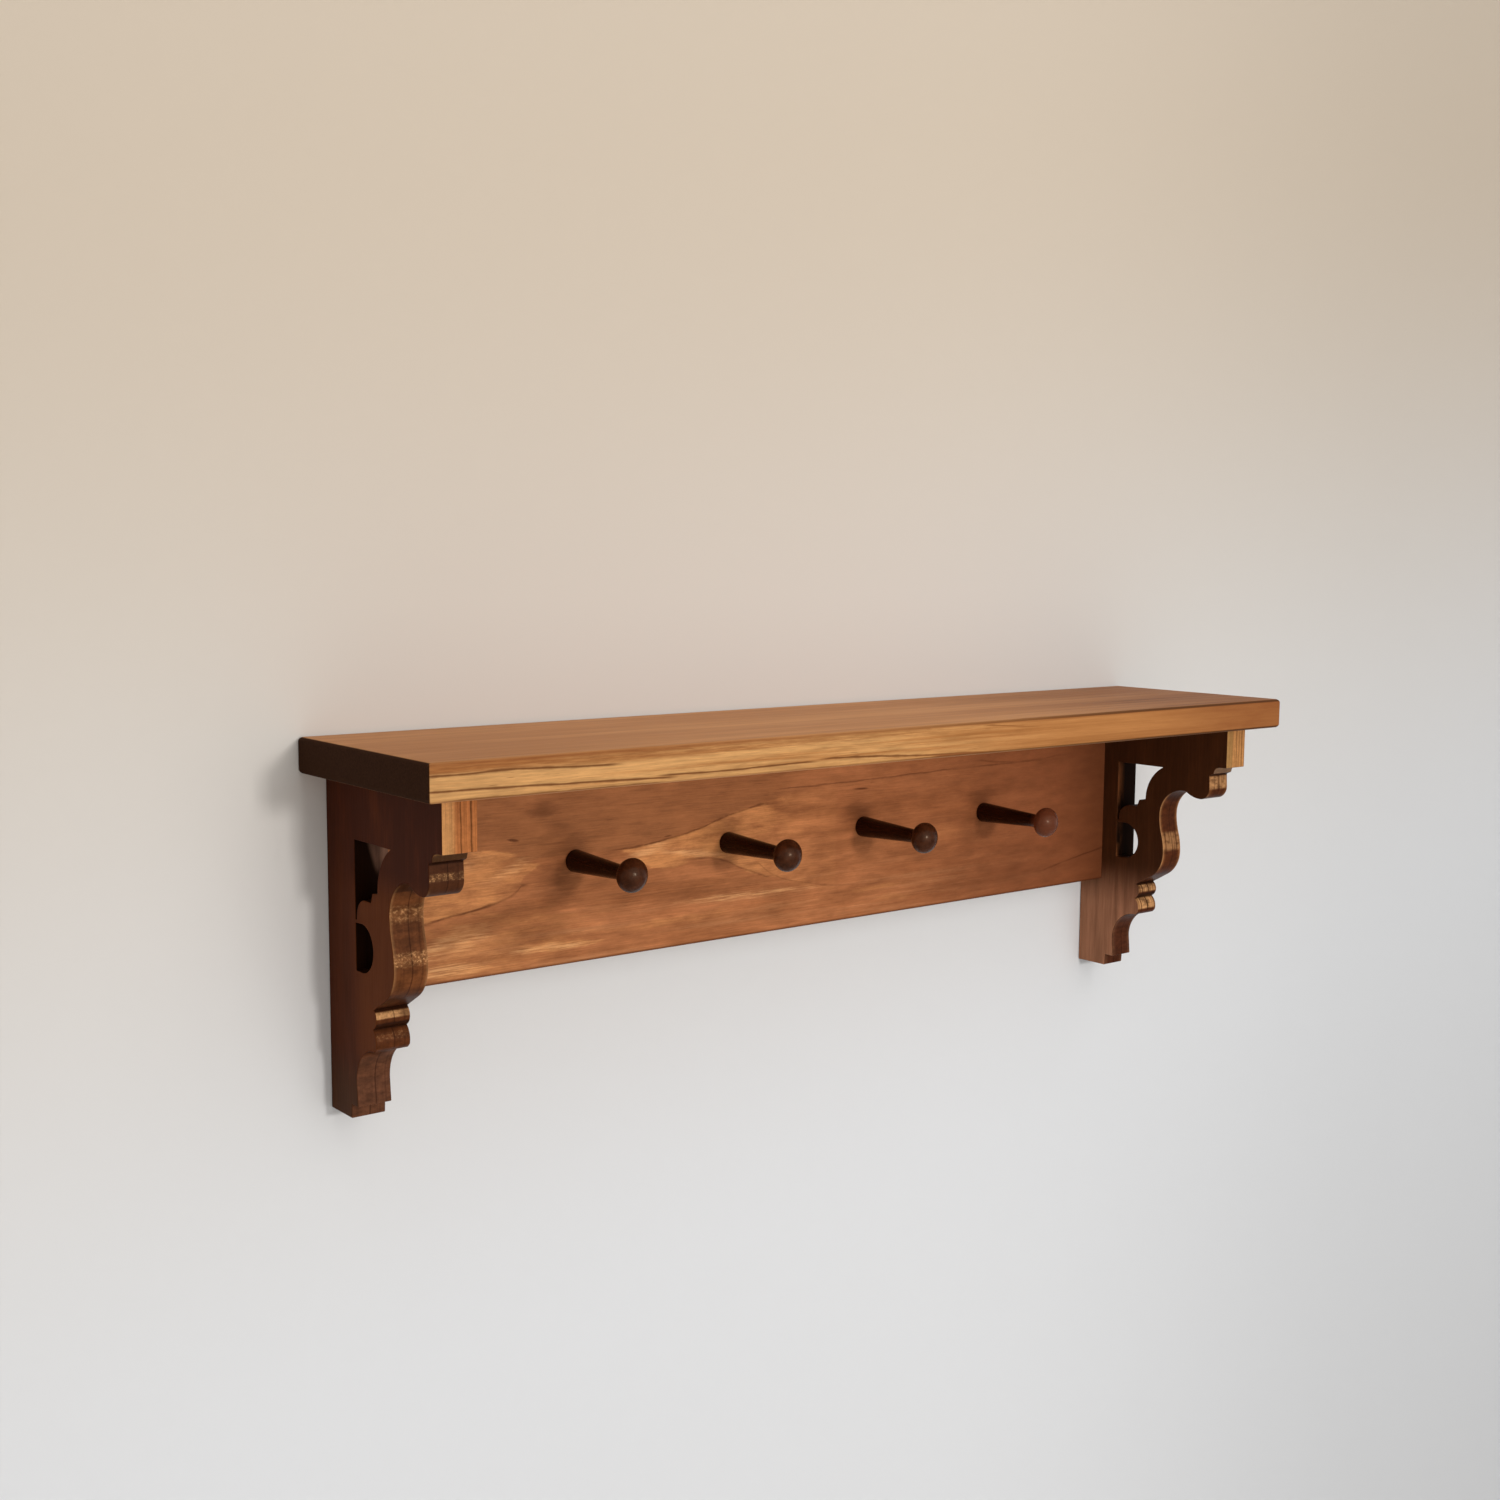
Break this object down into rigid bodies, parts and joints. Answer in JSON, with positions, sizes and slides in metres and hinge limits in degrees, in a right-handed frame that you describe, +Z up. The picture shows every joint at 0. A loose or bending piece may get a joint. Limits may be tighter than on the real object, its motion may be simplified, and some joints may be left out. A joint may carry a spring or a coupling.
{
  "type": "peg rail with shelf",
  "caption": "Wooden wall shelf on scroll-sawn brackets, with a board of turned pegs under it for hanging coats, mugs or towels.",
  "frame": {"origin": "on the wall plane, midway between the entry holes of the two keyhole hangers, 38 mm below the underside of the shelf", "axes": "+X along the shelf to the right as seen from the room, +Y into the wall, +Z up"},
  "size_m": [0.635, 0.14, 0.198],
  "materials": {
    "shelf_wood": "satin oil-stained pine, light honey brown",
    "board_wood": "satin stained pine, reddish brown",
    "bracket_wood": "satin stained pine, dark brown",
    "peg_wood": "satin dark walnut stain",
    "tenon_wood": "bare beech, hidden",
    "hanger_steel": "zinc plated, satin",
    "screw_steel": "yellow zinc plated"
  },
  "bodies": {
    "root": {"shelf_board": "shelf_wood", "back_board": "board_wood", "left_bracket": "bracket_wood", "right_bracket": "bracket_wood", "pegs": "peg_wood", "board_shelf_tenons": "tenon_wood", "left_bracket_shelf_tenons": "tenon_wood", "left_bracket_board_tenons": "tenon_wood", "right_bracket_shelf_tenons": "tenon_wood", "right_bracket_board_tenons": "tenon_wood", "keyhole_plates": "hanger_steel", "plate_screws": "screw_steel"}
  },
  "joints": []
}
